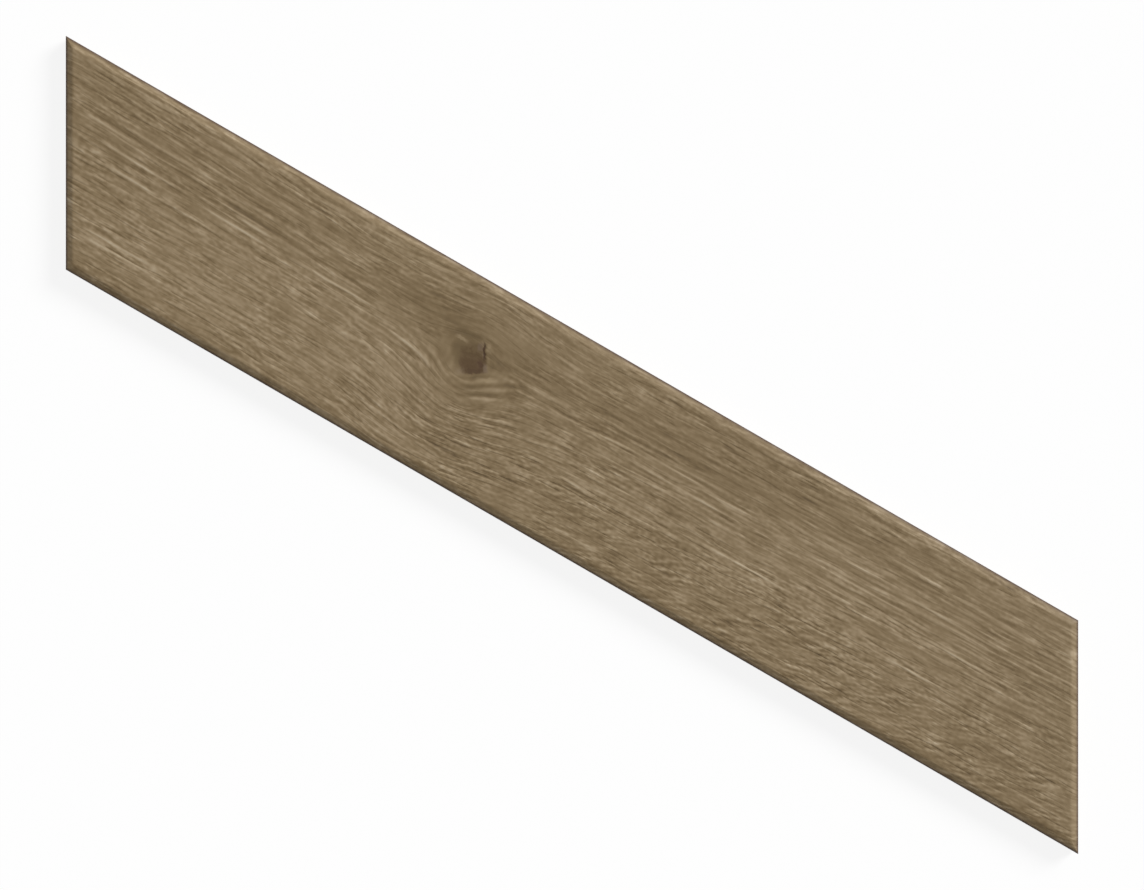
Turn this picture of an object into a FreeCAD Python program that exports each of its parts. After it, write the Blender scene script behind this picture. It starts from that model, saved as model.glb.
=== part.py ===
# Right-hand chevron wall tile: one dry-pressed and glazed ceramic piece, a parallelogram in plan.
# Frame: X runs across the chevron, Y along its spine, Z out of the printed face.
# The origin is the centre of the back, in the plane that the tile rests or is bedded on.
import FreeCAD
import Part
import Sketcher
import math
import os

NODE = "chevron_tile"

# Driving dimensions: alias, value in millimetres or degrees, what it measures
SIZES = [
    ("LongEdge", 400, "edge that runs along the printed grain"),
    ("ShortEdge", 80, "mitred edge that stands on the spine of the chevron"),
    ("MitreAngle", 60, "acute corner, between a long and a short edge, in degrees"),
    ("Thickness", 9, "from the back to the middle of the face"),
    ("ArrisWidth", 2.6, "pressed arris, seen from the front"),
    ("ArrisDrop", 1.3, "pressed arris, from the face down to the side"),
    ("ArrisCrown", 2.2, "radius that rolls the face over into the arris"),
    ("ArrisNose", 0.9, "radius that turns the arris down into the side"),
    ("BackBevel", 1, "bevel of the back edge, equal both ways"),
    ("BackBorder", 6, "least plain border between the back edge and the keying cells"),
    ("CellPitch", 15, "keying cells, square across from rib to rib"),
    ("CellDepth", 0.8, "keying cells, sunk into the back"),
    ("CellDraft", 30, "slope of a cell's walls away from square, in degrees"),
    ("RibWidth", 3, "land left between two keying cells"),
]

# Values that follow from the driving dimensions: alias, formula
DERIVED = [
    ("EdgeSine", "sin(MitreAngle * 1 deg)"),
    ("CellStep", "CellPitch / EdgeSine"),
    ("CellSide", "(CellPitch - RibWidth) / EdgeSine"),
    ("CellsAlong", "floor((LongEdge * EdgeSine - 2 * BackBorder + RibWidth) / CellPitch)"),
    ("CellsAcross", "floor((ShortEdge * EdgeSine - 2 * BackBorder + RibWidth) / CellPitch)"),
    ("FirstAlong", "(CellsAlong - 1) / 2 * CellStep"),
    ("FirstAcross", "(CellsAcross - 1) / 2 * CellStep"),
]

START, END = 1, 2  # numbers of a line's first and last point
ORIGIN = (-1, 1)   # the middle of the tile's back, as a curve number and a point number
TOUCH = 1e-6       # two heights closer than this are the same plane


def make_sheet(doc):
    """Spreadsheet with the driving dimensions first and the values worked out from them below."""
    sheet = doc.addObject("Spreadsheet::Sheet", "Sizes")
    rows = SIZES + [(alias, "=" + formula, "worked out") for alias, formula in DERIVED]
    for number, (alias, value, meaning) in enumerate(rows, start=1):
        sheet.set(f"A{number}", alias)
        sheet.set(f"B{number}", str(value))
        sheet.setAlias(f"B{number}", alias)
        sheet.set(f"C{number}", meaning)
    doc.recompute()
    return sheet


def origin_plane(body, role):
    """One of a body's own origin planes, by its role."""
    return next(plane for plane in body.Origin.OriginFeatures if plane.Role == role)


def new_sketch(body, name):
    """Empty sketch on the plane of the tile's back."""
    sketch = body.newObject("Sketcher::SketchObject", name)
    sketch.AttachmentSupport = (origin_plane(body, "XY_Plane"), [""])
    sketch.MapMode = "FlatFace"
    return sketch


def hold(sketch, constraint, name, formula):
    """Adds a constraint, names it and ties its value to the sheet."""
    number = sketch.addConstraint(constraint)
    sketch.renameConstraint(number, name)
    sketch.setExpression("Constraints." + name, formula)


def hold_length(sketch, line, alias, size):
    """Holds a line at one of the sheet's lengths."""
    length = Sketcher.Constraint("Distance", line, size(alias))
    hold(sketch, length, alias, "Sizes." + alias)


def hold_mitre(sketch, left, upper, size):
    """Holds the acute corner between a left and an upper line at the mitre angle."""
    corner = Sketcher.Constraint("Angle", left, START, upper, END, math.radians(size("MitreAngle")))
    hold(sketch, corner, "MitreAngle", "Sizes.MitreAngle * 1 deg")


def add_parallelogram(sketch, centre, long_side, short_side, angle):
    """Closed parallelogram with two upright sides, its other two falling to the right.

    Returns the numbers of its left, lower, right and upper lines.
    """
    half_width = long_side * math.sin(angle) / 2
    half_fall = long_side * math.cos(angle) / 2
    half_side = short_side / 2
    upper_left = centre + FreeCAD.Vector(-half_width, half_fall + half_side, 0)
    lower_left = centre + FreeCAD.Vector(-half_width, half_fall - half_side, 0)
    lower_right = centre + FreeCAD.Vector(half_width, -half_fall - half_side, 0)
    upper_right = centre + FreeCAD.Vector(half_width, -half_fall + half_side, 0)
    corners = [upper_left, lower_left, lower_right, upper_right]
    sides = [
        sketch.addGeometry(Part.LineSegment(corner, corners[(index + 1) % 4]), False)
        for index, corner in enumerate(corners)
    ]
    for index, side in enumerate(sides):
        sketch.addConstraint(Sketcher.Constraint("Coincident", side, END, sides[(index + 1) % 4], START))
    sketch.addConstraint(Sketcher.Constraint("Vertical", sides[0]))
    return sides


def outline_sketch(body, size):
    """The tile's plan, centred on the origin."""
    sketch = new_sketch(body, "Outline")
    angle = math.radians(size("MitreAngle"))
    left, lower, right, upper = add_parallelogram(
        sketch, FreeCAD.Vector(0, 0, 0), size("LongEdge"), size("ShortEdge"), angle
    )
    sketch.addConstraint(Sketcher.Constraint("Symmetric", left, START, right, START, *ORIGIN))
    sketch.addConstraint(Sketcher.Constraint("Symmetric", left, END, right, END, *ORIGIN))
    hold_length(sketch, left, "ShortEdge", size)
    hold_length(sketch, lower, "LongEdge", size)
    hold_mitre(sketch, left, upper, size)
    return sketch


def cell_sketch(body, size):
    """The first keying cell, stepped from the tile's centre along the long and then the short edge."""
    sketch = new_sketch(body, "KeyingCell")
    angle = math.radians(size("MitreAngle"))
    along = FreeCAD.Vector(math.sin(angle), -math.cos(angle), 0)
    across = FreeCAD.Vector(0, 1, 0)
    turn = along * -size("FirstAlong")
    centre = turn + across * -size("FirstAcross")

    # construction path from the origin to the cell's centre; its first leg is the pattern's direction
    leg_along = sketch.addGeometry(Part.LineSegment(FreeCAD.Vector(0, 0, 0), turn), True)
    leg_across = sketch.addGeometry(Part.LineSegment(turn, centre), True)
    sketch.addConstraint(Sketcher.Constraint("Coincident", leg_along, START, *ORIGIN))
    sketch.addConstraint(Sketcher.Constraint("Coincident", leg_across, START, leg_along, END))
    sketch.addConstraint(Sketcher.Constraint("Vertical", leg_across))

    left, lower, right, upper = add_parallelogram(sketch, centre, size("CellSide"), size("CellSide"), angle)
    sketch.addConstraint(Sketcher.Constraint("Symmetric", left, START, right, START, leg_across, END))
    sketch.addConstraint(Sketcher.Constraint("Symmetric", left, END, right, END, leg_across, END))
    sketch.addConstraint(Sketcher.Constraint("Parallel", leg_along, lower))
    sketch.addConstraint(Sketcher.Constraint("Equal", left, lower))

    hold_length(sketch, leg_along, "FirstAlong", size)
    hold_length(sketch, leg_across, "FirstAcross", size)
    hold_length(sketch, left, "CellSide", size)
    hold_mitre(sketch, left, upper, size)
    return sketch


def edges_at(shape, height):
    """Names of the edges that lie in the level plane at this height."""
    return [
        f"Edge{number}"
        for number, edge in enumerate(shape.Edges, start=1)
        if all(abs(vertex.Z - height) < TOUCH for vertex in edge.Vertexes)
    ]


def dress(body, kind, name, height, expressions):
    """Chamfer or fillet round all the edges of the body's newest shape at one height."""
    base = body.Tip
    feature = body.newObject("PartDesign::" + kind, name)
    feature.Base = (base, edges_at(base.Shape, height))
    for prop, formula in expressions.items():
        feature.setExpression(prop, formula)
    return feature


def cell_row(body, cell, name, axis, count):
    """One direction of the grid of keying cells, along an axis of the cell's sketch."""
    row = body.newObject("PartDesign::LinearPattern", name)
    row.Direction = (cell.Profile[0], [axis])
    row.Mode = "Spacing"
    row.setExpression("Offset", "Sizes.CellStep")
    row.setExpression("Occurrences", count)
    return row


def cell_walls(shape, depth):
    """Names of the upright faces that stand between the back and the floor of a keying cell."""
    return [
        f"Face{number}"
        for number, face in enumerate(shape.Faces, start=1)
        if abs(face.BoundBox.ZMin) < TOUCH and abs(face.BoundBox.ZMax - depth) < TOUCH
    ]


def make_tile(doc, size):
    """Presses the tile: blank, arris, back bevel, then the keying cells."""
    body = doc.addObject("PartDesign::Body", "Tile")
    body.Label = NODE

    blank = body.newObject("PartDesign::Pad", "Blank")
    blank.Profile = outline_sketch(body, size)
    blank.setExpression("Length", "Sizes.Thickness")
    doc.recompute()

    arris_sizes = {"Size": "Sizes.ArrisDrop", "Size2": "Sizes.ArrisWidth"}
    arris = dress(body, "Chamfer", "Arris", size("Thickness"), arris_sizes)
    arris.ChamferType = "Two distances"
    doc.recompute()

    dress(body, "Fillet", "Crown", size("Thickness"), {"Radius": "Sizes.ArrisCrown"})
    doc.recompute()
    dress(body, "Fillet", "Nose", size("Thickness") - size("ArrisDrop"), {"Radius": "Sizes.ArrisNose"})
    doc.recompute()
    dress(body, "Chamfer", "BackBevel", 0, {"Size": "Sizes.BackBevel"})
    doc.recompute()

    cell = body.newObject("PartDesign::Pocket", "Cell")
    cell.Profile = cell_sketch(body, size)
    cell.Reversed = True
    cell.setExpression("Length", "Sizes.CellDepth")
    doc.recompute()

    columns = cell_row(body, cell, "CellColumns", "Axis0", "Sizes.CellsAlong")
    columns.Reversed = True
    rows = cell_row(body, cell, "CellRows", "V_Axis", "Sizes.CellsAcross")
    cells = body.newObject("PartDesign::MultiTransform", "Cells")
    cells.Originals = [cell]
    cells.Transformations = [columns, rows]
    body.Tip = cells
    doc.recompute()

    draft = body.newObject("PartDesign::Draft", "CellDraft")
    draft.Base = (cells, cell_walls(cells.Shape, size("CellDepth")))
    draft.NeutralPlane = (origin_plane(body, "XY_Plane"), [""])
    draft.Reversed = True
    draft.setExpression("Angle", "Sizes.CellDraft * 1 deg")
    doc.recompute()
    return body


def check(doc, body):
    """Stops if any object failed or the tile isn't one valid solid."""
    failed = [item.Name for item in doc.Objects if {"Invalid", "Error"} & set(item.State)]
    if failed:
        raise RuntimeError(f"these objects failed: {failed}")
    if body.Shape.isNull() or not body.Shape.isValid() or len(body.Shape.Solids) != 1:
        raise RuntimeError("the tile is not one valid solid")


def main():
    doc = FreeCAD.newDocument("ChevronTile")
    sheet = make_sheet(doc)
    body = make_tile(doc, lambda alias: float(getattr(sheet, alias)))
    check(doc, body)
    os.makedirs("parts", exist_ok=True)
    body.Shape.exportStep(os.path.join("parts", NODE + ".step"))
    box = body.Shape.optimalBoundingBox(False, False)
    print(f"{NODE}: {box.XLength:.2f} x {box.YLength:.2f} x {box.ZLength:.2f} mm")
    print(f"volume: {body.Shape.Volume:.1f} cubic mm")


main()
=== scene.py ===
# Chevron wall tile: one pressed porcelain piece with a matt oak print, lying face up on a white floor
import bpy
import math
import numpy as np
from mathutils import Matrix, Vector


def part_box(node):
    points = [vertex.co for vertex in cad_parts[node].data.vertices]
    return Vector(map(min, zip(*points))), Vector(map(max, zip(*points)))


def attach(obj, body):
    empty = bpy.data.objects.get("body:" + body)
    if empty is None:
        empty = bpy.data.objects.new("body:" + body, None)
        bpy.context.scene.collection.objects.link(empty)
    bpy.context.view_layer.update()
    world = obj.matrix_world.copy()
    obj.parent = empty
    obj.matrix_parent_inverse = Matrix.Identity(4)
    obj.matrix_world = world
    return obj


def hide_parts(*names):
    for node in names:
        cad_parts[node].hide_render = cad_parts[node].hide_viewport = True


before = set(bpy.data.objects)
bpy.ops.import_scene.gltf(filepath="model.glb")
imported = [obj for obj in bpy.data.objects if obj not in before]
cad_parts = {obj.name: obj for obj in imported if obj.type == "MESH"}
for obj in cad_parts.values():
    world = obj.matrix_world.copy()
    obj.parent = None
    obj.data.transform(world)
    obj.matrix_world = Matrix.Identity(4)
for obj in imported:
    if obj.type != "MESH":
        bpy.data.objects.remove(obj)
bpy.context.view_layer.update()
mm = 0.001  # one millimetre in scene units

tile = {  # the pressed shape in mm, over the CAD solid
    "node": "chevron_tile",
    "mitreDeg": 60.0,
    "arrisWidth": 2.6,
    "arrisDrop": 1.3,
    "crownRadius": 2.2,    # where the arris rolls into the face
    "noseRadius": 0.9,     # and where it rolls into the side
    "backBevel": 1.0,
    "cellPitch": 15.0,
    "ribWidth": 3.0,
    "cellDepth": 0.8,
    "cellDraftDeg": 30.0,
    "cellsAlong": 22,
    "cellsAcross": 4,
    "ribRound": 0.2,       # worn edge of a rib
    "ribRoundHeight": 0.08,
    "wallFoot": (0.85, 0.9),  # where a cell's wall rounds into its floor: shares of its run and of the depth
    "wallEnd": 1.4,        # where that floor is flat: share of the run
    "columns": 270,        # face grid along the tile
    "rows": 240,           # face grid across the grain, closer than along it
    "columnSamples": 4001,  # places where the spacing of the columns is worked out
    "crownSteps": 5,
    "bevelSteps": 3,
    "noseSteps": 5,
    "sideSteps": 3,
    "sharpDeg": 42.0,      # edges that turn by more are shaded sharp
    "mapMargin": 0.006,    # share of the colour map left free at its edges
    "mapBack": 0.34,       # share of it that the back takes
}

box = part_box(tile["node"])
thickness = (box[1].z - box[0].z) / mm
halfX = (box[1].x - box[0].x) / 2 / mm  # from the middle to a mitred edge
mitre = math.radians(tile["mitreDeg"])
mitreSin, mitreCos = math.sin(mitre), math.cos(mitre)
shortEdge = (box[1].y - box[0].y) / mm - 2 * halfX / math.tan(mitre)
halfAcross = shortEdge * mitreSin / 2  # from the middle to a long edge
print("tile", round(2 * halfX / mitreSin, 2), "x", round(shortEdge, 2), "x", round(thickness, 2), "mm")


def linear(hexColour):
    parts = [int(hexColour[at:at + 2], 16) / 255 for at in (1, 3, 5)]
    return tuple(c / 12.92 if c <= 0.04045 else ((c + 0.055) / 1.055) ** 2.4 for c in parts) + (1.0,)


def addNode(tree, kind, inputs=(), stops=(), **settings):  # one node with its settings and links
    node = tree.nodes.new(kind)
    for name, value in settings.items():
        setattr(node, name, value)
    for name, value in inputs.items() if isinstance(inputs, dict) else enumerate(inputs):
        if isinstance(value, bpy.types.NodeSocket):
            tree.links.new(value, node.inputs[name])
        else:
            node.inputs[name].default_value = value
    if stops:  # colours of a ramp
        elements = node.color_ramp.elements
        while len(elements) < len(stops):
            elements.new(0.5)
        for element, (position, colour) in zip(elements, stops):
            element.position = position
            element.color = linear(colour)
    return next((socket for socket in node.outputs if socket.enabled), node)


def emptyTree(owner):  # node tree of a new material or world
    owner.use_nodes = True
    owner.node_tree.nodes.clear()
    return owner.node_tree


def alongAcross(x, y):  # distances along the tile and square across it
    return x * mitreSin - y * mitreCos, x * mitreCos + y * mitreSin


def uprightOf(x, across):  # Y of a point, from its X and its distance across
    return (across - x * mitreCos) / mitreSin


def place(p, q, inset):  # p and q run from -1 to 1 along and across; inset is square in from the edges
    x = p * (halfX - inset)
    return x, uprightOf(x, q * (halfAcross - inset))


def edgeProfile():  # inset and height from the rim of the face down to the back
    t = tile
    slope = math.atan2(t["arrisDrop"], t["arrisWidth"])
    crownTouch = t["crownRadius"] * math.tan(slope / 2)
    noseTouch = t["noseRadius"] * math.tan((math.pi / 2 - slope) / 2)
    noseHeight = thickness - t["arrisDrop"] - noseTouch
    crown, nose = [], []
    for tilt in np.linspace(0, slope, t["crownSteps"]):
        inset = t["arrisWidth"] + crownTouch - t["crownRadius"] * math.sin(tilt)
        crown.append((inset, thickness - t["crownRadius"] * (1 - math.cos(tilt))))
    for tilt in np.linspace(slope, math.pi / 2, t["noseSteps"]):
        nose.append((t["noseRadius"] * (1 - math.sin(tilt)), noseHeight + t["noseRadius"] * math.cos(tilt)))
    bevel = []
    for share in np.linspace(0, 1, t["bevelSteps"] + 2)[1:-1]:
        bevel.append(tuple(np.array(crown[-1]) * (1 - share) + np.array(nose[0]) * share))
    side = [(0.0, height) for height in np.linspace(noseHeight, t["backBevel"], t["sideSteps"] + 1)[1:]]
    return crown + bevel + nose + side + [(t["backBevel"], 0.0)], noseHeight


knot = {  # in mm from the middle of the tile, X across the chevron and Y along its spine
    "x": -33.9,
    "y": 29.7,
    "bend": 14.3,          # how far the grain swings round it
    "bendReach": 45.0,     # past this it runs straight again
    "heart": 13.4,         # inside this it swings less and less
    "above": 0.5,          # share of that swing on the side away from the tile's middle
    "aboveEase": 4.0,
    "closer": 2.5,         # extra grid columns near it
    "closerReach": 14.0,
    # ripples pressed up under it, level with X
    "rippleX": 5.2,
    "rippleY": -10.8,
    "rippleReach": (9.0, 4.4),
    "ripplePitch": 2.95,
    "rippleCrest": -9.55,
    "rippleTone": -0.19,
}

grain = {  # lines of growth over the face: mm along and across the tile from its middle
    "liftFrom": -40.0,     # past this the lines climb off the long edge
    "liftSlope": 0.034,
    "liftEase": 22.0,
    "fallFrom": -80.0,     # before this they come down towards the knot
    "fallSlope": 0.035,
    "fallBottom": -20.0,   # but less and less from the top down to here
    "fallTop": 20.0,
    "slantTop": 0.0,       # below this the right half breaks into slanted dashes
    "slantBottom": -25.0,
    "slantFrom": -35.0,
    "slantFull": 25.0,
    # soft darker and paler areas: along, across, length, width, strength
    "shadeBase": 0.0,
    "shades": [
        (-58.0, 17.0, 24.0, 8.0, -0.15),
        (-42.0, 4.0, 15.0, 9.0, -0.12),
        (12.0, 15.5, 62.0, 6.5, -0.06),
        (-112.0, -6.0, 80.0, 20.0, 0.06),
        (-160.0, -20.0, 45.0, 7.0, 0.07),
        (-70.0, -12.0, 14.0, 16.0, 0.04),
        (68.0, 27.0, 42.0, 7.0, -0.06),
        (98.0, 3.0, 62.0, 13.0, 0.05),
        (-41.0, -14.0, 11.0, 12.0, -0.06),
        (-44.0, 2.0, 7.0, 5.0, -0.03),
        (-24.0, 13.0, 14.0, 5.0, -0.05),
        (-155.0, 11.0, 40.0, 6.0, -0.06),
        (-110.0, 5.5, 26.0, 5.0, 0.05),
        (34.0, 10.5, 24.0, 4.0, 0.08),
        (165.0, 14.0, 16.0, 7.0, -0.06),
        (-52.0, -24.0, 14.0, 5.0, 0.06),
        (45.0, -19.0, 12.0, 4.0, -0.04),
        (-38.0, 11.5, 4.0, 4.0, -0.08),
        (-42.0, 1.8, 4.5, 2.2, 0.13),
        (-41.0, 17.5, 5.0, 4.0, 0.08),
        (90.0, -9.0, 80.0, 3.0, 0.04),
        (0.0, 28.0, 200.0, 4.0, 0.025),
        (15.0, 6.0, 40.0, 4.0, -0.035),
        (105.0, 3.0, 15.0, 5.0, -0.05),
        (-45.0, -19.0, 7.0, 4.0, -0.05),
    ],
    # where the short marks are fainter or stronger, in the same order
    "shortBase": 1.0,
    "short": [
        (-60.0, 17.0, 30.0, 11.0, -0.1),
        (-135.0, 15.0, 60.0, 12.0, -0.25),
        (-5.0, 0.0, 25.0, 15.0, 0.15),
        (-42.0, 3.0, 12.0, 9.0, -0.35),
        (-35.0, -21.0, 20.0, 9.0, 0.6),
        (-145.0, -5.0, 12.0, 6.0, -0.2),
        (-76.0, -12.0, 24.0, 11.0, -0.15),
        (100.0, 14.0, 110.0, 12.0, -0.35),
        (100.0, -18.0, 110.0, 12.0, 0.5),
        (-34.0, 21.0, 14.0, 9.0, -0.45),
    ],
    # and the long lines
    "longBase": 0.6,
    "long": [
        (-140.0, 17.0, 55.0, 13.0, 0.4),
        (-115.0, -18.0, 60.0, 14.0, -0.35),
        (-68.0, 15.0, 24.0, 12.0, -0.3),
        (30.0, 22.0, 50.0, 9.0, -0.4),
        (-34.0, 21.0, 14.0, 9.0, -0.45),
        (100.0, 13.0, 110.0, 14.0, 0.6),
        (-5.0, 0.0, 30.0, 14.0, 0.25),
        (-43.0, 1.0, 10.0, 8.0, -0.45),
        (-40.0, -22.0, 16.0, 7.0, 0.15),
        (-95.0, 5.0, 16.0, 5.0, 0.2),
        (-63.0, 1.0, 13.0, 10.0, -0.22),
        (45.0, 5.0, 40.0, 5.0, 0.2),
        (118.0, 15.0, 12.0, 5.0, -0.25),
        (100.0, -20.0, 110.0, 9.0, 0.1),
    ],
    # lines that stand out: from and to along the tile, across at the middle, strength; dark ones are negative
    "lineHalf": 0.47,
    "levelFrom": -20.0,    # past this they run level, whatever the lines around them do
    "lineFlank": 0.4,      # the ground is that much darker beside a pale line
    "flankReach": 2.2,     # and over this many times its width
    "lines": [
        (-192.0, -163.0, 9.0, 1.0),
        (-190.0, -164.0, 7.3, -0.35),
        (-184.0, -166.0, 3.0, 0.9),
        (-178.0, -163.0, 22.0, 0.9),
        (-200.0, -181.0, 16.4, -0.6),
        (-200.0, -184.0, 14.9, 0.7),
        (-160.0, -143.0, 20.4, 0.7),
        (-112.0, -92.0, 11.6, -0.6),
        (-160.0, -125.0, 18.0, -0.6),
        (-151.0, -119.0, 7.0, 1.2),
        (-140.0, -123.0, 10.2, 0.9),
        (-142.0, -123.0, 12.2, -0.8),
        (-108.0, -84.0, 7.2, 0.9),
        (-72.0, -55.0, 1.5, 0.7),
        (-180.0, -155.0, -19.0, 0.9),
        (-178.0, -153.0, -21.6, 0.85),
        (-136.0, -129.0, -19.5, 0.7),
        (13.0, 50.0, 10.0, 0.8),
        (18.0, 62.0, 5.4, 0.6),
        (24.0, 46.0, 2.0, 0.5),
        (14.0, 24.0, 0.0, -0.7),
        (20.0, 46.0, 19.2, -0.6),
        (70.0, 106.0, 13.8, 0.7),
        (76.0, 84.0, 24.0, -1.0),
        (-6.0, 16.0, -5.3, 0.6),
        (0.0, 46.0, -9.0, 0.5),
        (3.0, 15.0, -11.4, 0.8),
        (3.0, 15.0, -12.8, -0.8),
        (52.0, 96.0, -6.6, 0.65),
        (114.0, 134.0, 21.0, 0.45),
        (137.0, 176.0, 20.6, 0.65),
        (137.0, 176.0, 19.0, -0.6),
        (124.0, 156.0, 12.2, 0.8),
        (98.0, 128.0, 7.0, 0.6),
        (88.0, 130.0, 3.0, 0.7),
        (136.0, 174.0, 3.0, 0.8),
        (174.0, 190.0, 9.0, -0.7),
        (118.0, 162.0, -9.3, 0.8),
        (149.0, 161.0, -12.4, -0.7),
    ],
}
knotAlong, knotAcross = alongAcross(knot["x"], knot["y"])


def gridColumns():  # columns of the face grid, closer together by the knot
    at = np.linspace(-1, 1, tile["columnSamples"])
    density = 1 + knot["closer"] * np.exp(-((at * halfX - knot["x"]) / knot["closerReach"]) ** 2)
    total = np.concatenate([[0], np.cumsum((density[1:] + density[:-1]) / 2)])
    return np.interp(np.linspace(0, total[-1], tile["columns"] + 1), total, at)


def eased(value, low, high):  # soft step from 0 at low to 1 at high
    share = np.clip((value - low) / (high - low), 0, 1)
    return share ** 2 * (3 - 2 * share)


def softAreas(along, across, areas, base):  # a level with soft areas laid over it
    total = np.full_like(along, base)
    for u, v, length, width, strength in areas:
        total += strength * np.exp(-((along - u) / length) ** 2 - ((across - v) / width) ** 2)
    return total


def bentAcross(along, across):  # distance across the tile, as the growth lines bend it
    du, dv = along - knotAlong, across - knotAcross
    swing = knot["bend"] ** 2 / (du ** 2 + dv ** 2 + knot["heart"] ** 2)
    swing = swing * np.exp(-(du / knot["bendReach"]) ** 2)
    swing = swing * (1 - (1 - knot["above"]) * (0.5 + 0.5 * np.tanh(dv / knot["aboveEase"])))
    bent = across - dv * swing
    fall = grain["fallSlope"] * eased(across, grain["fallBottom"], grain["fallTop"])
    for past, slope in ((along - grain["liftFrom"], grain["liftSlope"]), (grain["fallFrom"] - along, fall)):
        bent = bent - slope * (past + np.sqrt(past ** 2 + grain["liftEase"] ** 2)) / 2
    return bent


def standingLines(along, across, line):  # the lines that stand out, pale above 0 and dark below
    marked = np.zeros_like(along)
    for start, end, at, strength in grain["lines"]:
        middle, half = (start + end) / 2, (end - start) / 2
        apart = across - at if start > grain["levelFrom"] else line - bentAcross(middle, at)
        off = apart / grain["lineHalf"]
        stroke = (1 + grain["lineFlank"]) * np.exp(-off ** 2)
        stroke -= grain["lineFlank"] * np.exp(-(off / grain["flankReach"]) ** 2)
        marked += strength * stroke * np.exp(-((along - middle) / half) ** 4)
    return marked


def ripples(dx, dy):  # shade of the ripples under the knot
    reachX, reachY = knot["rippleReach"]
    near = np.exp(-((dx - knot["rippleX"]) / reachX) ** 2 - ((dy - knot["rippleY"]) / reachY) ** 2)
    return knot["rippleTone"] * near * np.cos(2 * np.pi * (dy - knot["rippleCrest"]) / knot["ripplePitch"])


def growthLines(x, y):  # what the print and the relief read at points of the face
    along, across = alongAcross(x, y)
    dx, dy = x - knot["x"], y - knot["y"]
    line = bentAcross(along, across)
    slant = eased(across, grain["slantTop"], grain["slantBottom"])
    slant *= eased(along, grain["slantFrom"], grain["slantFull"])
    shade, short, drawn = (softAreas(along, across, grain[areas], grain[base]) for areas, base in (
        ("shades", "shadeBase"), ("short", "shortBase"), ("long", "longBase")))
    level = np.zeros(x.size)
    return {
        "grain": np.column_stack([along, line, level]),
        "cast": np.column_stack([short, drawn, slant]),
        "fromKnot": np.column_stack([dx, dy, level]),
        "shade": shade + ripples(dx, dy),
        "marked": standingLines(along, across, line),
    }


def glazedSide(profile):  # the face as a grid, then rings over the arris, the side and the back bevel
    p, q = gridColumns(), np.linspace(-1, 1, tile["rows"] + 1)
    columns, rows = p.size, q.size
    number = np.arange(columns * rows).reshape(rows, columns)
    faces = [np.column_stack([number[:-1, :-1].ravel(), number[:-1, 1:].ravel(),
                              number[1:, 1:].ravel(), number[1:, :-1].ravel()])]
    gridP, gridQ = (a.ravel() for a in np.meshgrid(p, q))
    rim = np.concatenate([number[0], number[1:, -1], number[-1, -2::-1], number[-2:0:-1, 0]])
    rings = [(gridP, gridQ)]
    reaches = [0.0]
    last = rim
    for count, (before, after) in enumerate(zip(profile, profile[1:])):
        rings.append((gridP[rim], gridQ[rim]))
        reaches.append(reaches[-1] + math.dist(before, after))
        ring = np.arange(rim.size) + number.size + count * rim.size
        faces.append(np.column_stack([last, ring, np.roll(ring, -1), np.roll(last, -1)]))
        last = ring
    points, unrolled = [], []
    for (ringP, ringQ), (inset, height), reach in zip(rings, profile, reaches):
        x, y = place(ringP, ringQ, inset)
        points.append(np.column_stack([x, y, np.full(x.size, height)]))
        unrolled.append(np.full(x.size, reach))
    return {
        "points": np.concatenate(points),
        "faces": np.concatenate(faces).tolist(),
        "p": np.concatenate([ringP for ringP, ringQ in rings]),
        "q": np.concatenate([ringQ for ringP, ringQ in rings]),
        "rimInset": profile[0][0],
        "unrolled": np.concatenate(unrolled),  # distance from the rim of the face, over the edge
        "reach": reaches[-1],
        "lastRing": last,
        "corners": [0, columns - 1, columns + rows - 2, 2 * columns + rows - 3, rim.size],
    }


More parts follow.
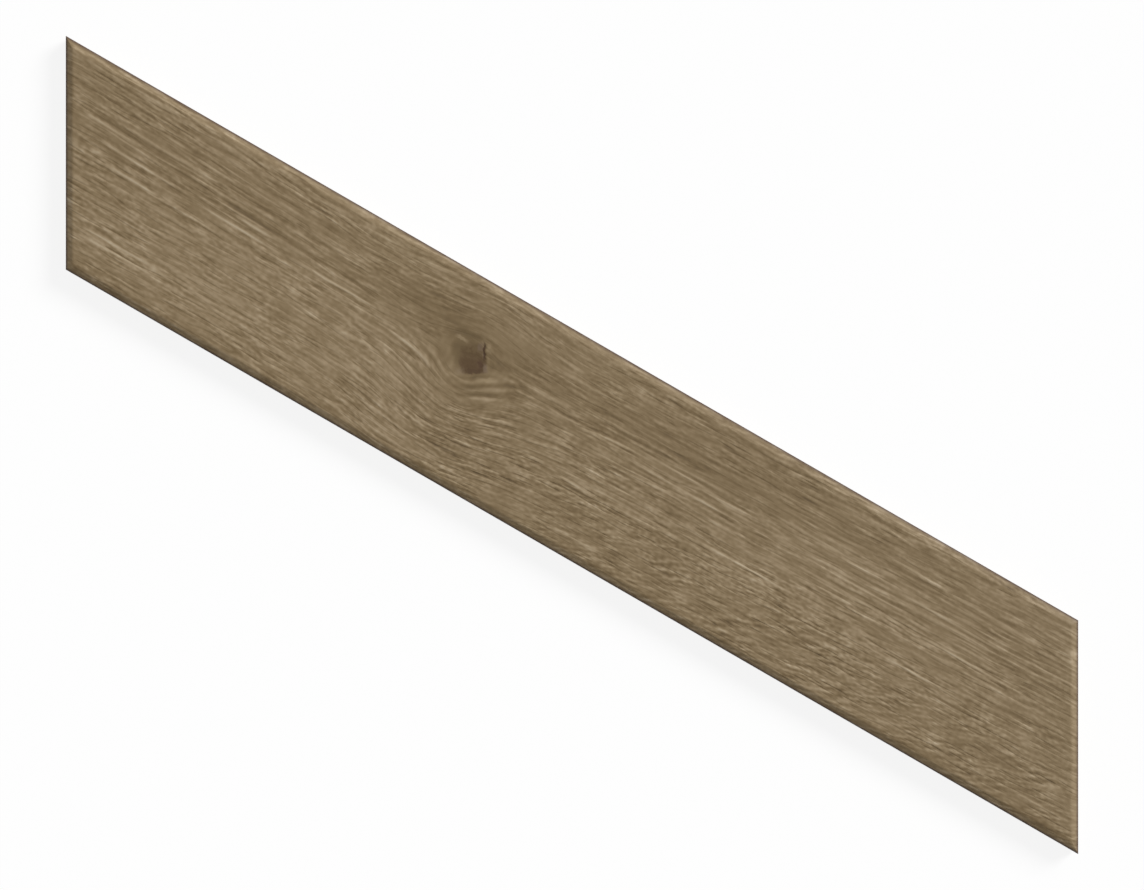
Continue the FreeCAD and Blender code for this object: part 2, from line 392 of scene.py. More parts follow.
def keyedBack(front):  # the back inside the last ring: lands between the keying cells, and the cells
    t = tile
    halfOpening = (t["cellPitch"] - t["ribWidth"]) / 2 + t["ribRound"]
    lines = []  # of constant X, and of constant distance across
    for count in (t["cellsAlong"], t["cellsAcross"]):
        middles = (np.arange(count) - (count - 1) / 2) * t["cellPitch"]
        lines.append(np.sort(np.concatenate([middles - halfOpening, middles + halfOpening])))
    lineX, lineAcross = lines
    total = len(front["points"])
    x, across = (a.ravel() for a in np.meshgrid(lineX, lineAcross))
    number = np.arange(total, total + x.size).reshape(lineAcross.size, lineX.size)
    points = [np.column_stack([x, uprightOf(x, across), np.zeros(x.size)])]
    total += x.size

    # a border on each side, out to the last ring
    faces = []
    outer = np.append(front["lastRing"], front["lastRing"][0])
    sides = [number[0], number[:, -1], number[-1, ::-1], number[::-1, 0]]
    for side, start, end in zip(sides, front["corners"], front["corners"][1:]):
        faces.append(np.concatenate([side, outer[start:end + 1][::-1]]).tolist())

    # inset and height from the edge of a rib down its wall to the floor of a cell
    run = t["cellDepth"] * math.tan(math.radians(t["cellDraftDeg"]))
    footRun, footDepth = t["wallFoot"]
    wall = [
        (t["ribRound"], t["ribRoundHeight"]),
        (t["ribRound"] + run * footRun, t["cellDepth"] * footDepth),
        (t["ribRound"] + run * t["wallEnd"], t["cellDepth"]),
    ]
    for j in range(lineAcross.size - 1):
        for i in range(lineX.size - 1):
            rim = [int(number[a, b]) for a, b in ((j, i), (j + 1, i), (j + 1, i + 1), (j, i + 1))]
            isCell = i % 2 == 0 and j % 2 == 0
            for inward, height in wall if isCell else ():
                left, right = lineX[i] + inward, lineX[i + 1] - inward
                low, high = lineAcross[j] + inward, lineAcross[j + 1] - inward
                x = np.array([left, left, right, right])
                y = uprightOf(x, np.array([low, high, high, low]))
                points.append(np.column_stack([x, y, np.full(4, height)]))
                inner = list(range(total, total + 4))
                total += 4
                for k in range(4):
                    after = (k + 1) % 4
                    faces.append([rim[k], rim[after], inner[after], inner[k]])
                rim = inner
            faces.append(rim)
    return np.concatenate(points), faces


def carryGrain(mesh, points, front, noseHeight):  # what the finish reads at each point
    flat = points[:, :2].copy()  # the edges rolled out level, so that the print runs on over them
    x, y = place(front["p"], front["q"], front["rimInset"] - front["unrolled"])
    flat[:x.size] = np.column_stack([x, y])
    carried = growthLines(*flat.T)
    carried["pressed"] = np.clip((points[:, 2] - noseHeight) / (thickness - noseHeight), 0, 1)
    carried["height"] = points[:, 2]
    for name, values in carried.items():
        kind, key = ("FLOAT_VECTOR", "vector") if values.ndim > 1 else ("FLOAT", "value")
        mesh.attributes.new(name, kind, "POINT").data.foreach_set(key, values.astype(np.float32).ravel())


def unwrap(mesh, points, front):  # map for baked colours: the unrolled face above, the back below
    spread = 0.5 - tile["mapMargin"]
    faceX, faceAcross = halfX - front["rimInset"], halfAcross - front["rimInset"]
    glazed = np.column_stack([
        front["p"] * (faceX + front["unrolled"]) / (faceX + front["reach"]),
        front["q"] * (faceAcross + front["unrolled"]) / (faceAcross + front["reach"])])
    glazed = glazed * spread + 0.5
    glazed[:, 1] = tile["mapBack"] + glazed[:, 1] * (1 - tile["mapBack"])
    x, y, _ = points.T
    rear = np.column_stack([x / halfX, alongAcross(x, y)[1] / halfAcross]) * spread + 0.5
    rear[:, 1] *= tile["mapBack"]
    pointOf = np.empty(len(mesh.loops), np.int32)
    mesh.loops.foreach_get("vertex_index", pointOf)
    uv = rear[pointOf]
    firstBack = mesh.polygons[len(front["faces"])].loop_start
    uv[:firstBack] = glazed[pointOf[:firstBack]]
    mesh.uv_layers.new(name="OFBake").uv.foreach_set("vector", uv.astype(np.float32).ravel())


def makeTile():
    profile, noseHeight = edgeProfile()
    front = glazedSide(profile)
    backPoints, backFaces = keyedBack(front)
    points = np.concatenate([front["points"], backPoints])
    faces = front["faces"] + backFaces
    mesh = bpy.data.meshes.new("chevronTile")
    mesh.from_pydata((points * mm).tolist(), [], faces)
    mesh.validate()
    carryGrain(mesh, points, front, noseHeight)
    unwrap(mesh, points, front)
    bare = np.arange(len(mesh.polygons)) >= len(front["faces"])
    mesh.polygons.foreach_set("material_index", bare.astype(np.int32))
    mesh.polygons.foreach_set("use_smooth", np.ones(len(mesh.polygons), bool))
    mesh.update()
    piece = bpy.data.objects.new("chevron_tile_glazed", mesh)
    bpy.context.scene.collection.objects.link(piece)
    print("mesh", len(mesh.vertices), "points,", sum(len(f) - 2 for f in faces), "triangles")
    return piece


oak = {  # grain that the print and the pressed relief share
    # noises along it: length and width in mm, seed, detail
    "streaks": {
        "long": (70.0, 1.5, 3.0, 0.0),
        "thread": (28.0, 1.1, 19.0, 0.0),
        "dash": (7.5, 1.15, 11.0, 0.0),
        "slanted": (8.5, 1.15, 23.0, 0.0),
        "speck": (1.8, 1.0, 71.0, 0.0),
        "limed": (24.0, 0.85, 37.0, 0.0),
        "pore": (9.0, 0.7, 51.0, 0.0),         # drawn wider than real pores, which would not show
        "cluster": (34.0, 7.0, 83.0, 1.0),     # patches where limed lines gather
        "lively": (20.0, 6.0, 43.0, 1.0),      # patches where the short marks crowd
        "broken": (9.0, 3.0, 67.0, 1.0),       # breaks in the lines that stand out
        "band": (150.0, 8.0, 0.0, 2.0),
        "wander": (26.0, 6.0, 97.0, 1.0),
        "ringDrift": (40.0, 6.0, 61.0, 1.0),
        "ringShown": (26.0, 8.0, 29.0, 1.0),
    },
    "roughness": 0.55,     # of the finer detail in them
    "seedSkew": 1.7,       # a seed moves a noise this many times further across than along
    # where they start and end to show and, if not from 0 to 1, what they give there
    "steps": {
        "limed": (0.10, 0.26),
        "pore": (0.08, 0.24),
        "cluster": (-0.08, 0.12),
        "ringShown": (-0.15, 0.15),
        "lively": (-0.2, 0.2, 0.65, 1.3),
        "broken": (-0.2, 0.1, 0.6, 1.0),
    },
    "clear": (0.1, 0.6, 1.0, 0.4),  # short marks give way to a line that stands out, in the same order
    "wanderBy": 1.2,       # mm that a line strays
    "ringPitch": 2.8,      # mm between growth lines
    "ringDriftBy": 6.0,
    "slantDeg": 17.0,
}


def layer(tree, at, name):  # one noise stretched along the grain, about 0 on average
    length, width, seed, detail = oak["streaks"][name]
    stretched, moved = (1 / length, 1 / width, 0), (seed, seed * oak["seedSkew"], 0)
    scaled = addNode(tree, "ShaderNodeVectorMath", [at, stretched, moved], operation="MULTIPLY_ADD")
    noise = addNode(tree, "ShaderNodeTexNoise",
                    {"Vector": scaled, "Scale": 1.0, "Detail": detail, "Roughness": oak["roughness"]},
                    noise_dimensions="2D")
    return addNode(tree, "ShaderNodeMath", [noise, 0.5], operation="SUBTRACT")


def showing(tree, at, name):  # one such noise, cut to where it shows
    return addNode(tree, "ShaderNodeMapRange", [layer(tree, at, name), *oak["steps"][name]],
                   interpolation_type="SMOOTHSTEP")


def pressedGrain(tree, at, cast, marked):  # lines, dashes, specks and pores of the oak
    short, drawn, slant = addNode(tree, "ShaderNodeSeparateXYZ", [cast]).node.outputs
    stray = addNode(tree, "ShaderNodeCombineXYZ", {"Y": layer(tree, at, "wander")})
    at = addNode(tree, "ShaderNodeVectorMath", [stray, (0, oak["wanderBy"], 0), at], operation="MULTIPLY_ADD")
    turned = addNode(tree, "ShaderNodeVectorRotate", {"Vector": at, "Angle": -math.radians(oak["slantDeg"])},
                     rotation_type="Z_AXIS")
    level, slanted = layer(tree, at, "dash"), layer(tree, turned, "slanted")
    dash = addNode(tree, "ShaderNodeMix", {0: slant, 2: level, 3: slanted}, data_type="FLOAT")

    # how strong the short marks are
    stood = addNode(tree, "ShaderNodeMath", [marked], operation="ABSOLUTE")
    clear = addNode(tree, "ShaderNodeMapRange", [stood, *oak["clear"]], interpolation_type="SMOOTHSTEP")
    lively = showing(tree, at, "lively")
    for factor in (short, clear):
        lively = addNode(tree, "ShaderNodeMath", [lively, factor], operation="MULTIPLY")

    # growth lines: waves across the grain that drift and fade
    across = addNode(tree, "ShaderNodeSeparateXYZ", [at]).node.outputs["Y"]
    drift = addNode(tree, "ShaderNodeMath", [layer(tree, at, "ringDrift"), oak["ringDriftBy"]],
                    operation="MULTIPLY")
    phase = addNode(tree, "ShaderNodeMath", [across, 2 * math.pi / oak["ringPitch"], drift],
                    operation="MULTIPLY_ADD")
    waves = addNode(tree, "ShaderNodeMath", [phase], operation="SINE")

    parts = {  # each is the product of these
        "long": [layer(tree, at, "long"), drawn],
        "thread": [layer(tree, at, "thread"), drawn],
        "rings": [waves, showing(tree, at, "ringShown"), drawn],
        "dash": [dash, lively],
        "speck": [layer(tree, at, "speck"), lively],
        "limed": [showing(tree, at, "limed"), showing(tree, at, "cluster"), drawn],
        "pore": [showing(tree, at, "pore"), lively],
        "marked": [marked, showing(tree, at, "broken")],
    }
    for name, (part, *factors) in parts.items():
        for factor in factors:
            part = addNode(tree, "ShaderNodeMath", [part, factor], operation="MULTIPLY")
        parts[name] = part
    return parts


knotShape = {  # the eye of the knot in mm from its middle
    "eyeMiddle": (-1.9, 1.8),
    "eyeHalf": (5.2, 7.9),
    "eyeLeanDeg": 18.0,
    "eyeFade": (1.25, 0.6),    # where it starts and is full, as shares of that oval
    "rimFade": (0.28, 0.04),   # the same for its rim, on either side of the oval
    "heartFade": (3.5, -3.0),  # and for the heart, in mm up
    "mottle": (0.4, 0.6, 0.75, 1.05),  # the core is uneven: noise from and to, and what it gives there
    "ragged": 1.3,         # how far its outlines stray
    "raggedPerMm": 0.55,
    "raggedDetail": 2.0,
    "crackFrom": 1.0,      # below this the crack curves back to the left
    "crackCurve": 0.11,
    # rounded marks: middle, half size, turn in degrees, where each starts and is full as shares of that size
    "marks": {
        "brow": ((-1.5, 8.4), (4.6, 1.3), 26.0, 1.4, 0.3),
        "lid": ((1.9, 6.7), (3.3, 1.9), 0.0, 1.4, 0.3),
        "lash": ((-4.9, 1.0), (2.0, 4.6), 0.0, 1.4, 0.2),
        "foldTop": ((4.4, -7.5), (3.4, 0.8), 0.0, 1.5, 0.2),
        "foldDark": ((0.2, -10.0), (3.4, 0.8), 0.0, 1.5, 0.2),
        "foldLow": ((0.8, -12.2), (3.0, 0.8), 4.0, 1.5, 0.2),
        "foldEnd": ((6.5, -11.1), (3.4, 0.9), 0.0, 1.5, 0.2),
        "core": ((-0.2, 0.1), (4.5, 4.8), 0.0, 1.18, 0.7),
        "heart": ((0.1, -0.5), (4.7, 5.05), 0.0, 1.09, 0.86),
        "foot": ((0.6, -4.5), (3.2, 0.8), 0.0, 1.3, 0.5),
        "corner": ((-4.5, -4.6), (1.5, 1.2), 0.0, 1.4, 0.3),
        "sill": ((4.2, -3.6), (0.9, 1.7), 0.0, 1.3, 0.3),
        "lip": ((5.5, 3.0), (0.8, 1.7), 0.0, 1.3, 0.3),
        "ash": ((2.5, 3.6), (1.1, 1.7), 0.0, 1.3, 0.3),
        "pit": ((2.4, -2.2), (1.0, 1.5), -20.0, 1.3, 0.3),
        "crack": ((4.0, 2.3), (0.45, 3.4), 0.0, 1.2, 0.5),
        "fleck": ((-3.6, 6.7), (2.6, 0.75), 34.0, 1.2, 0.4),
    },
}


def oval(tree, point, middle, half, turnDeg, square):  # 1 on the outline of an oval, less inside it
    turned = addNode(tree, "ShaderNodeVectorRotate",
                     {"Vector": point, "Center": (*middle, 0), "Angle": math.radians(turnDeg)},
                     rotation_type="Z_AXIS")
    apart = addNode(tree, "ShaderNodeVectorMath", [turned, (*middle, 0)], operation="SUBTRACT")
    scaled = addNode(tree, "ShaderNodeVectorMath", [apart, (1 / half[0], 1 / half[1], 0)],
                     operation="MULTIPLY")
    if square:  # nearer to a rectangle with round corners
        scaled = addNode(tree, "ShaderNodeVectorMath", [scaled, scaled], operation="MULTIPLY")
    size = addNode(tree, "ShaderNodeVectorMath", [scaled], operation="LENGTH").node.outputs["Value"]
    return addNode(tree, "ShaderNodeMath", [size], operation="SQRT") if square else size


def knotEye(tree, fromKnot):  # masks for the dark eye, its rim and its marks
    k = knotShape
    rough = addNode(tree, "ShaderNodeTexNoise",
                    {"Vector": fromKnot, "Scale": k["raggedPerMm"], "Detail": k["raggedDetail"]},
                    noise_dimensions="2D").node.outputs
    stray = addNode(tree, "ShaderNodeVectorMath", [rough["Color"], (0.5, 0.5, 0.5)], operation="SUBTRACT")
    at = addNode(tree, "ShaderNodeVectorMath", [stray, (k["ragged"], k["ragged"], 0), fromKnot],
                 operation="MULTIPLY_ADD")
    x, y, _ = addNode(tree, "ShaderNodeSeparateXYZ", [at]).node.outputs
    under = addNode(tree, "ShaderNodeMath", [k["crackFrom"], y], operation="SUBTRACT")
    under = addNode(tree, "ShaderNodeMath", [under, 0.0], operation="MAXIMUM")
    under = addNode(tree, "ShaderNodeMath", [under, under], operation="MULTIPLY")
    straight = addNode(tree, "ShaderNodeMath", [under, k["crackCurve"], x], operation="MULTIPLY_ADD")
    alongCrack = addNode(tree, "ShaderNodeCombineXYZ", [straight, y])

    eye = oval(tree, at, k["eyeMiddle"], k["eyeHalf"], -k["eyeLeanDeg"], square=False)
    off = addNode(tree, "ShaderNodeMath", [eye, 1.0], operation="SUBTRACT")
    off = addNode(tree, "ShaderNodeMath", [off], operation="ABSOLUTE")
    fades = {
        "eye": (eye, k["eyeFade"]),
        "rim": (off, k["rimFade"]),
        "low": (y, k["heartFade"]),
        "mottle": (rough["Fac"], k["mottle"]),
    }
    for name, (middle, half, turnDeg, *fade) in k["marks"].items():
        point = alongCrack if name == "crack" else at
        fades[name] = (oval(tree, point, middle, half, turnDeg, square=True), fade)
    masks = {}
    for name, (value, fade) in fades.items():
        masks[name] = addNode(tree, "ShaderNodeMapRange", [value, *fade], interpolation_type="SMOOTHSTEP")
    for name, held in (("heart", "low"), ("core", "mottle")):
        masks[name] = addNode(tree, "ShaderNodeMath", [masks[name], masks[held]], operation="MULTIPLY")
    return masks


relief = {  # heights in mm; the specks are too fine for the mesh and come as bump
    "middle": -0.12,       # level of the relief at rest, under the pressed face
    "heights": {
        "long": 0.10, "thread": 0.08, "dash": 0.075, "rings": 0.018,
        "limed": 0.03, "pore": -0.03, "marked": 0.05,
        "eye": -0.02, "rim": -0.02, "core": -0.05, "pit": -0.06, "crack": -0.18, "fleck": 0.03,
    },
}


def summed(tree, parts, amounts, total):  # parts added to a total, each by its amount
    for name, amount in amounts.items():
        total = addNode(tree, "ShaderNodeMath", [parts[name], amount, total], operation="MULTIPLY_ADD")
    return total


def pressRelief(piece):  # sinks the grain and the knot into the face as geometry
    tree = bpy.data.node_groups.new("pressedRelief", "GeometryNodeTree")
    for direction in ("INPUT", "OUTPUT"):
        tree.interface.new_socket("Geometry", in_out=direction, socket_type="NodeSocketGeometry")
    shape = addNode(tree, "NodeGroupInput")
    at, cast, fromKnot = (
        addNode(tree, "GeometryNodeInputNamedAttribute", {"Name": name}, data_type="FLOAT_VECTOR")
        for name in ("grain", "cast", "fromKnot"))
    pressed, marked = (
        addNode(tree, "GeometryNodeInputNamedAttribute", {"Name": name}, data_type="FLOAT")
        for name in ("pressed", "marked"))
    parts = pressedGrain(tree, at, cast, marked) | knotEye(tree, fromKnot)
    sunk = summed(tree, parts, relief["heights"], relief["middle"])
    sunk = addNode(tree, "ShaderNodeMath", [sunk, 0.0], operation="MINIMUM")
    for factor in (pressed, mm):
        sunk = addNode(tree, "ShaderNodeMath", [sunk, factor], operation="MULTIPLY")
    offset = addNode(tree, "ShaderNodeCombineXYZ", {"Z": sunk})
    moved = addNode(tree, "GeometryNodeSetPosition", {"Geometry": shape, "Offset": offset})
    addNode(tree, "NodeGroupOutput", [moved])
    piece.modifiers.new("relief", "NODES").node_group = tree
    depsgraph = bpy.context.evaluated_depsgraph_get()
    mesh = bpy.data.meshes.new_from_object(piece.evaluated_get(depsgraph))
    piece.modifiers.clear()
    piece.data = mesh
    mesh.set_sharp_from_angle(angle=math.radians(tile["sharpDeg"]))
    places = np.empty(len(mesh.vertices) * 3, np.float32)
    mesh.vertices.foreach_get("co", places)
    top = places.reshape(-1, 3)[:(tile["columns"] + 1) * (tile["rows"] + 1), 2] / mm
    print("relief", round(float(top.min()), 3), "to", round(float(top.max()), 3), "mm, spread",
          round(float(top.std()), 4))


oakPrint = {
    "middle": 0.481,       # tone where all the lines are at rest
    "tones": {             # what each kind of line adds to it
        "long": 0.21, "thread": 0.25, "rings": 0.05, "dash": 0.38, "speck": 0.2,
        "limed": 0.13, "pore": -0.045, "marked": 0.36, "band": 0.14,
    },
    "eyeTones": {"eye": -0.09, "rim": -0.03},
    "eyeCalm": 0.5,        # how much of the grain is lost inside the eye
    "ramp": [(0.0, "#483923"), (0.32, "#69573b"), (0.5, "#7b694d"), (0.68, "#928065"), (1.0, "#b5a78f")],
    # the knot's marks and how strongly each is laid on
    "knot": {
        "brow": ("#4e3e22", 0.4),
        "lid": ("#4e3e22", 0.25),
        "lash": ("#4e3e22", 0.4),
        "foldTop": ("#998769", 0.5),
        "foldDark": ("#4e3e22", 0.25),
        "foldLow": ("#4e3e22", 0.25),
        "foldEnd": ("#7a684c", 0.45),
        "core": ("#4c3a20", 0.82),
        "heart": ("#432e17", 0.6),
        "foot": ("#38240e", 0.55),
        "corner": ("#76654f", 0.5),
        "sill": ("#6b5a49", 0.7),
        "lip": ("#89775b", 0.5),
        "ash": ("#655443", 0.6),
        "pit": ("#3b2410", 0.75),
        "crack": ("#38240e", 0.95),
        "fleck": ("#89775b", 0.7),
    },
}
glaze = {  # over the print; heights in mm above the back
    "border": 5.6,         # how far down the sides it runs
    "drip": 1.4,
    "dripWidth": 5.0,
    "dripDetail": 3.0,
    "fade": 0.35,
    "bevelHeight": (8.95, 8.55),  # over the bevel the print is a little paler
    "bevelTone": 0.015,
    "noseHeight": (8.35, 7.65),   # and over the nose it is painted darker all round: painted shade standing for the shade on the rolled edge
    "nose": ("#3a261d", 0.9),
    "sheenTone": (0.25, 0.75),    # dark pores to pale lines
    "roughness": (0.68, 0.56),    # at those two tones
    "ior": 1.5,
    "specular": 0.35,
    "specks": 0.045,       # fine relief in mm that the mesh is too coarse for
    "pores": -0.035,
}
body = {  # the fired clay
    "noises": {            # size in mm, detail
        "grit": (0.9, 3.0),
        "cloud": (16.0, 3.0),
        "iron": (1.5, 0.0),    # dark specks; larger than real ones, which would not show
        "dust": (6.0, 5.0),    # white kiln wash left on the ribs
    },
    "cloudShare": 0.45,    # how much of its colour is the broad clouds
    "ramp": [(0.3, "#96866f"), (0.5, "#ab9b83"), (0.7, "#bfb098")],
    "ironShown": (0.70, 0.78),
    "iron": ("#75644f", 0.6),
    "dustShown": (0.42, 0.62),
    "dustHeight": (0.12, 0.0),  # mm above the floor
    "dust": ("#d2cabb", 0.5),
    "gritHeight": 0.10,
    "pitHeight": -0.06,
    "roughness": 0.88,
    "ior": 1.5,
}


def tinted(tree, colour, mask, hexColour, share):  # a colour laid over another where a mask says
    amount = addNode(tree, "ShaderNodeMath", [mask, share], operation="MULTIPLY")
    return addNode(tree, "ShaderNodeMix", {0: amount, 6: colour, 7: linear(hexColour)}, data_type="RGBA")


def bareBody(tree, height):  # colour of the fired clay, and its grit in mm
    at = addNode(tree, "ShaderNodeTexCoord").node.outputs["Object"]
    grit, cloud, iron, dust = (
        addNode(tree, "ShaderNodeTexNoise", {"Vector": at, "Scale": 1 / (size * mm), "Detail": detail})
        for size, detail in body["noises"].values())
    speck, dusty, low = (
        addNode(tree, "ShaderNodeMapRange", [value, *body[fade]], interpolation_type="SMOOTHSTEP")
        for value, fade in ((iron, "ironShown"), (dust, "dustShown"), (height, "dustHeight")))
    rubbed = addNode(tree, "ShaderNodeMath", [low, dusty], operation="MULTIPLY")
    tone = addNode(tree, "ShaderNodeMix", {0: body["cloudShare"], 2: grit, 3: cloud}, data_type="FLOAT")
    colour = addNode(tree, "ShaderNodeValToRGB", [tone], stops=body["ramp"])
    colour = tinted(tree, colour, speck, *body["iron"])
    colour = tinted(tree, colour, rubbed, *body["dust"])
    raised = addNode(tree, "ShaderNodeMath", [grit, body["gritHeight"]], operation="MULTIPLY")
    raised = addNode(tree, "ShaderNodeMath", [speck, body["pitHeight"], raised], operation="MULTIPLY_ADD")
    return colour, raised


def printedOak(tree, at, height):  # colour and tone of the print, with painted shade over the nose, and the parts of its grain
    cast, fromKnot = (
        addNode(tree, "ShaderNodeAttribute", attribute_name=name).node.outputs["Vector"]
        for name in ("cast", "fromKnot"))
    shade, marked = (
        addNode(tree, "ShaderNodeAttribute", attribute_name=name).node.outputs["Fac"]
        for name in ("shade", "marked"))
    parts = pressedGrain(tree, at, cast, marked)
    parts["band"] = layer(tree, at, "band")
    eye = knotEye(tree, fromKnot)
    tone = summed(tree, parts, oakPrint["tones"], 0.0)
    calm = addNode(tree, "ShaderNodeMath", [eye["eye"], -oakPrint["eyeCalm"], 1.0], operation="MULTIPLY_ADD")
    tone = addNode(tree, "ShaderNodeMath", [tone, calm, shade], operation="MULTIPLY_ADD")
    tone = summed(tree, eye, oakPrint["eyeTones"], tone)
    bevel, nose = (
        addNode(tree, "ShaderNodeMapRange", [height, *glaze[fade]], interpolation_type="SMOOTHSTEP")
        for fade in ("bevelHeight", "noseHeight"))
    tone = addNode(tree, "ShaderNodeMath", [bevel, glaze["bevelTone"], tone], operation="MULTIPLY_ADD")
    tone = addNode(tree, "ShaderNodeMath", [tone, oakPrint["middle"]], operation="ADD")
    colour = addNode(tree, "ShaderNodeValToRGB", [tone], stops=oakPrint["ramp"])
    # painted shade: the nose is darkened all round the face, standing for the shade on its rolled edges
    colour = tinted(tree, colour, nose, *glaze["nose"])
    for name, (hexColour, share) in oakPrint["knot"].items():
        colour = tinted(tree, colour, eye[name], hexColour, share)
    return colour, tone, parts


def glazedOak():
    # Matt glaze over an ink-jet oak print: soft sheen, taupe wood lines, no clear reflections
    material = bpy.data.materials.new("mattGlazedOakPrint")
    tree = emptyTree(material)
    at = addNode(tree, "ShaderNodeAttribute", attribute_name="grain").node.outputs["Vector"]
    height = addNode(tree, "ShaderNodeAttribute", attribute_name="height").node.outputs["Fac"]
    colour, tone, parts = printedOak(tree, at, height)
    clay, clayHeight = bareBody(tree, height)

    # the glaze runs a little way down the sides and leaves the clay bare below
    drip = addNode(tree, "ShaderNodeTexNoise",
                   {"Vector": at, "Scale": 1 / glaze["dripWidth"], "Detail": glaze["dripDetail"]},
                   noise_dimensions="2D")
    edge = addNode(tree, "ShaderNodeMath", [drip, glaze["drip"], height], operation="MULTIPLY_ADD")
    border = glaze["border"] + glaze["drip"] / 2
    glazed = addNode(tree, "ShaderNodeMapRange", [edge, border - glaze["fade"], border + glaze["fade"]],
                     interpolation_type="SMOOTHSTEP")
    colour = addNode(tree, "ShaderNodeMix", {0: glazed, 6: clay, 7: colour}, data_type="RGBA")
    sheen = addNode(tree, "ShaderNodeMapRange", [tone, *glaze["sheenTone"], *glaze["roughness"]])
    rough = addNode(tree, "ShaderNodeMix", {0: glazed, 2: body["roughness"], 3: sheen}, data_type="FLOAT")
    fine = addNode(tree, "ShaderNodeMath", [parts["speck"], glaze["specks"]], operation="MULTIPLY")
    fine = addNode(tree, "ShaderNodeMath", [parts["pore"], glaze["pores"], fine], operation="MULTIPLY_ADD")
    fine = addNode(tree, "ShaderNodeMix", {0: glazed, 2: clayHeight, 3: fine}, data_type="FLOAT")
    bump = addNode(tree, "ShaderNodeBump", {"Height": fine, "Distance": mm, "Strength": 1.0})
    surface = addNode(tree, "ShaderNodeBsdfPrincipled",
                      {"Base Color": colour, "Roughness": rough, "IOR": glaze["ior"],
                       "Specular IOR Level": glaze["specular"], "Normal": bump})
    addNode(tree, "ShaderNodeOutputMaterial", {"Surface": surface})
    return material


def firedBody():
    # Unglazed porcelain body, dry pressed and fired: dull, sandy beige
    material = bpy.data.materials.new("firedPorcelainBody")
    tree = emptyTree(material)
    height = addNode(tree, "ShaderNodeAttribute", attribute_name="height").node.outputs["Fac"]
    colour, raised = bareBody(tree, height)
    bump = addNode(tree, "ShaderNodeBump", {"Height": raised, "Distance": mm, "Strength": 1.0})
    surface = addNode(tree, "ShaderNodeBsdfPrincipled",
                      {"Base Color": colour, "Roughness": body["roughness"], "IOR": body["ior"],
                       "Normal": bump})
    addNode(tree, "ShaderNodeOutputMaterial", {"Surface": surface})
    return material


studio = {  # one large soft lamp from the upper right and an even fill
    "keyAzimuthDeg": 32.0,
    "keyElevationDeg": 34.0,
    "keySpreadDeg": 26.0,
    "keyWhite": 0.73,      # share of full white that the lamp gives a level surface
    "fillWhite": 0.27,
    "roomWhite": 1.0,      # what is seen past the floor
    "floorSize": 12.0,     # metres
    "floorGap": 0.05,      # mm under the tile, so that the two don't share a plane
    "floorColour": "#e2e2e2",
    "floorWhite": 1.03,
    "floorShown": 0.85,    # how much of the floor's white is its own, so that the shadow on it stays faint
    "lens": 100.0,
    "sensor": 36.0,
    "frameHeight": 304.0,  # mm of the floor that the picture covers
    "frameShape": 1144 / 890,
}
white = (1.0, 1.0, 1.0, 1.0)


def seenDirectly(tree):  # 1 for what the camera, a reflection or glass shows
    path = addNode(tree, "ShaderNodeLightPath").node.outputs
    seen = path["Is Camera Ray"]
    for ray in ("Is Glossy Ray", "Is Transmission Ray"):
        seen = addNode(tree, "ShaderNodeMath", [seen, path[ray]], operation="MAXIMUM")
    return seen


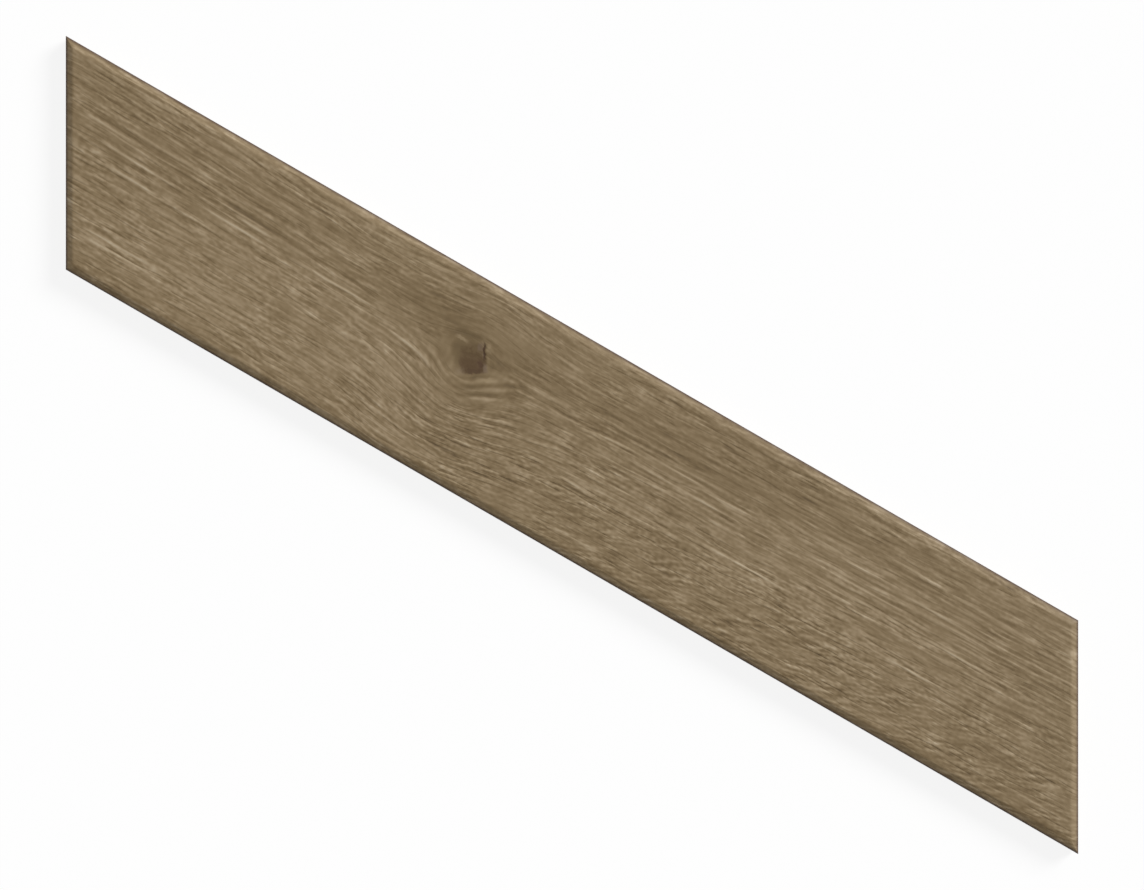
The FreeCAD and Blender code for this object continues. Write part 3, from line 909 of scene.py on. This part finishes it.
def makeFloor():
    # White paper, smooth and matt: no grain to see, only the shadow
    material = bpy.data.materials.new("whitePaper")
    tree = emptyTree(material)
    paper = addNode(tree, "ShaderNodeBsdfDiffuse", {"Color": linear(studio["floorColour"])})
    plain = addNode(tree, "ShaderNodeEmission", {"Color": white, "Strength": studio["floorWhite"]})
    own = addNode(tree, "ShaderNodeMath", [seenDirectly(tree), studio["floorShown"]], operation="MULTIPLY")
    mixed = addNode(tree, "ShaderNodeMixShader", [own, paper, plain])
    addNode(tree, "ShaderNodeOutputMaterial", {"Surface": mixed})
    half = studio["floorSize"] / 2
    mesh = bpy.data.meshes.new("floor")
    corners = [(-half, -half, 0), (half, -half, 0), (half, half, 0), (-half, half, 0)]
    mesh.from_pydata(corners, [], [(0, 1, 2, 3)])
    mesh.materials.append(material)
    floor = bpy.data.objects.new("floor", mesh)
    floor.location.z = -studio["floorGap"] * mm
    bpy.context.scene.collection.objects.link(floor)


def lightRoom():
    world = bpy.data.worlds.new("whiteRoom")
    tree = emptyTree(world)
    fill = addNode(tree, "ShaderNodeBackground", {"Color": white, "Strength": studio["fillWhite"]})
    room = addNode(tree, "ShaderNodeBackground", {"Color": white, "Strength": studio["roomWhite"]})
    mixed = addNode(tree, "ShaderNodeMixShader", [seenDirectly(tree), fill, room])
    addNode(tree, "ShaderNodeOutputWorld", {"Surface": mixed})
    bpy.context.scene.world = world

    azimuth, elevation = math.radians(studio["keyAzimuthDeg"]), math.radians(studio["keyElevationDeg"])
    towards = Vector((math.cos(azimuth) * math.cos(elevation), math.sin(azimuth) * math.cos(elevation),
                      math.sin(elevation)))
    key = bpy.data.lights.new("softKey", "SUN")
    key.angle = math.radians(studio["keySpreadDeg"])
    key.energy = studio["keyWhite"] * math.pi / math.sin(elevation)
    lamp = bpy.data.objects.new("softKey", key)
    lamp.rotation_mode = "QUATERNION"
    lamp.rotation_quaternion = (-towards).to_track_quat("-Z", "Y")
    lamp.location = towards
    bpy.context.scene.collection.objects.link(lamp)
    print("lamp", round(key.energy, 3), "W per square metre")


def setCamera():  # straight above the middle of the tile
    camera = bpy.data.cameras.new("camera")
    camera.lens, camera.sensor_width = studio["lens"], studio["sensor"]
    eye = bpy.data.objects.new("camera", camera)
    distance = studio["frameHeight"] * studio["frameShape"] * studio["lens"] / studio["sensor"]
    eye.location = (0, 0, (thickness + distance) * mm)
    bpy.context.scene.collection.objects.link(eye)
    bpy.context.scene.camera = eye
    bpy.context.scene.view_settings.view_transform = "Standard"
    print("camera", round(eye.location.z, 3), "m above the floor")


piece = makeTile()
pressRelief(piece)
piece.data.materials.append(glazedOak())
piece.data.materials.append(firedBody())
print("finish", ", ".join(material.name for material in piece.data.materials))
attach(piece, "root")
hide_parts(tile["node"])
makeFloor()
lightRoom()
setCamera()
